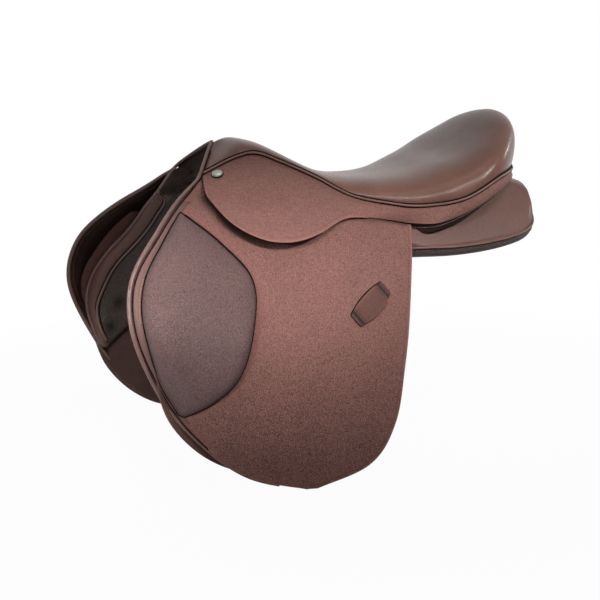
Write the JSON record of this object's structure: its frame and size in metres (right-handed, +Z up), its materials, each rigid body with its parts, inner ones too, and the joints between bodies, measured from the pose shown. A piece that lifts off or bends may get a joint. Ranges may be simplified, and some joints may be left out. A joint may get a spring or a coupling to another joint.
{
  "type": "jumping saddle",
  "caption": "Forward cut leather riding saddle with a deep padded seat, hinged skirts and flaps with knee pads, girth straps, stirrup bars and cushioned panels on both sides of a channel.",
  "frame": {"origin": "on the horse's back, straight below the deepest point of the seat", "axes": "+X towards the horse's head, +Y to its left, +Z up"},
  "size_m": [0.6048, 0.4376, 0.4527],
  "materials": {
    "seat_leather": "smooth calf leather, half gloss",
    "flap_leather": "fine grained leather, matt",
    "pad_leather": "smooth leather, half matt",
    "keeper_leather": "grained leather, matt",
    "panel_leather": "smooth leather, half gloss",
    "lining_leather": "grained leather, matt",
    "sweat_leather": "smooth leather, matt",
    "block_leather": "smooth leather",
    "strap_leather": "bridle leather",
    "piping": "leather over cord",
    "foam": "open foam",
    "webbing": "woven webbing",
    "tree_wood": "laminated beech, varnished",
    "steel": "forged steel, brushed",
    "stud_metal": "nickel plated, polished",
    "rivet_brass": "brass"
  },
  "bodies": {
    "saddle": {"seat_cover": "seat_leather", "seat_foam": "foam", "seat_webbing": "webbing", "seat_welt": "piping", "pommel_welt": "piping", "tree_shell": "tree_wood", "head_plate": "steel", "head_screws": "steel", "arch_lining": "lining_leather", "channel_lining": "lining_leather", "cantle_band": "flap_leather", "tree_point_left": "tree_wood", "tree_point_right": "tree_wood", "stirrup_bar_left": "steel", "stirrup_bar_right": "steel", "catch_pin_left": "steel", "catch_pin_right": "steel", "bar_rivets_left": "steel", "bar_rivets_right": "steel", "skirt_top_left": "flap_leather", "skirt_top_right": "flap_leather", "stud_left": "stud_metal", "stud_right": "stud_metal", "flap_head_left": "flap_leather", "flap_head_right": "flap_leather", "sweat_flap_left": "sweat_leather", "sweat_flap_right": "sweat_leather", "knee_block_left": "block_leather", "knee_block_right": "block_leather", "thigh_block_left": "block_leather", "thigh_block_right": "block_leather", "strap_rivets_left": "rivet_brass", "strap_rivets_right": "rivet_brass", "panel_left": "panel_leather", "panel_right": "panel_leather", "panel_welt_left": "piping", "panel_welt_right": "piping"},
    "left_flap": {"flap_left": "flap_leather", "flap_welt_left": "piping", "knee_pad_left": "pad_leather", "keeper_left": "keeper_leather"},
    "left_skirt": {"skirt_left": "flap_leather"},
    "left_front_strap": {"strap_front_left": "strap_leather"},
    "left_rear_strap": {"strap_rear_left": "strap_leather"},
    "left_catch": {"catch_left": "steel"},
    "right_flap": {"flap_right": "flap_leather", "flap_welt_right": "piping", "knee_pad_right": "pad_leather", "keeper_right": "keeper_leather"},
    "right_skirt": {"skirt_right": "flap_leather"},
    "right_front_strap": {"strap_front_right": "strap_leather"},
    "right_rear_strap": {"strap_rear_right": "strap_leather"},
    "right_catch": {"catch_right": "steel"}
  },
  "joints": [
    {"name": "left_flap_lift", "type": "hinge", "parent": "saddle", "child": "left_flap", "pos_m": [-0.043, 0.1277, 0.047], "axis": [0.9701, -0.1418, 0.1967], "range_deg": [0, 60]},
    {"name": "left_skirt_lift", "type": "hinge", "parent": "left_flap", "child": "left_skirt", "pos_m": [-0.043, 0.1277, 0.047], "axis": [0.9701, -0.1418, 0.1967], "range_deg": [0, 70]},
    {"name": "left_front_strap_swing", "type": "hinge", "parent": "saddle", "child": "left_front_strap", "pos_m": [0.126, 0.11673, 0.04], "axis": [0, 0.8454, 0.5342], "range_deg": [-8, 8]},
    {"name": "left_rear_strap_swing", "type": "hinge", "parent": "saddle", "child": "left_rear_strap", "pos_m": [0.086, 0.11073, 0.04], "axis": [0, 0.8454, 0.5342], "range_deg": [-5, 5]},
    {"name": "left_catch_turn", "type": "hinge", "parent": "saddle", "child": "left_catch", "pos_m": [0.104, 0.10051, 0.07], "axis": [0, 0.802, 0.5973], "range_deg": [0, 80]},
    {"name": "right_flap_lift", "type": "hinge", "parent": "saddle", "child": "right_flap", "pos_m": [-0.043, -0.1277, 0.047], "axis": [-0.9701, -0.1418, -0.1967], "range_deg": [0, 60]},
    {"name": "right_skirt_lift", "type": "hinge", "parent": "right_flap", "child": "right_skirt", "pos_m": [-0.043, -0.1277, 0.047], "axis": [-0.9701, -0.1418, -0.1967], "range_deg": [0, 70]},
    {"name": "right_front_strap_swing", "type": "hinge", "parent": "saddle", "child": "right_front_strap", "pos_m": [0.126, -0.11673, 0.04], "axis": [0, 0.8454, -0.5342], "range_deg": [-8, 8]},
    {"name": "right_rear_strap_swing", "type": "hinge", "parent": "saddle", "child": "right_rear_strap", "pos_m": [0.086, -0.11073, 0.04], "axis": [0, 0.8454, -0.5342], "range_deg": [-5, 5]},
    {"name": "right_catch_turn", "type": "hinge", "parent": "saddle", "child": "right_catch", "pos_m": [0.104, -0.10051, 0.07], "axis": [0, 0.802, -0.5973], "range_deg": [0, 80]}
  ]
}
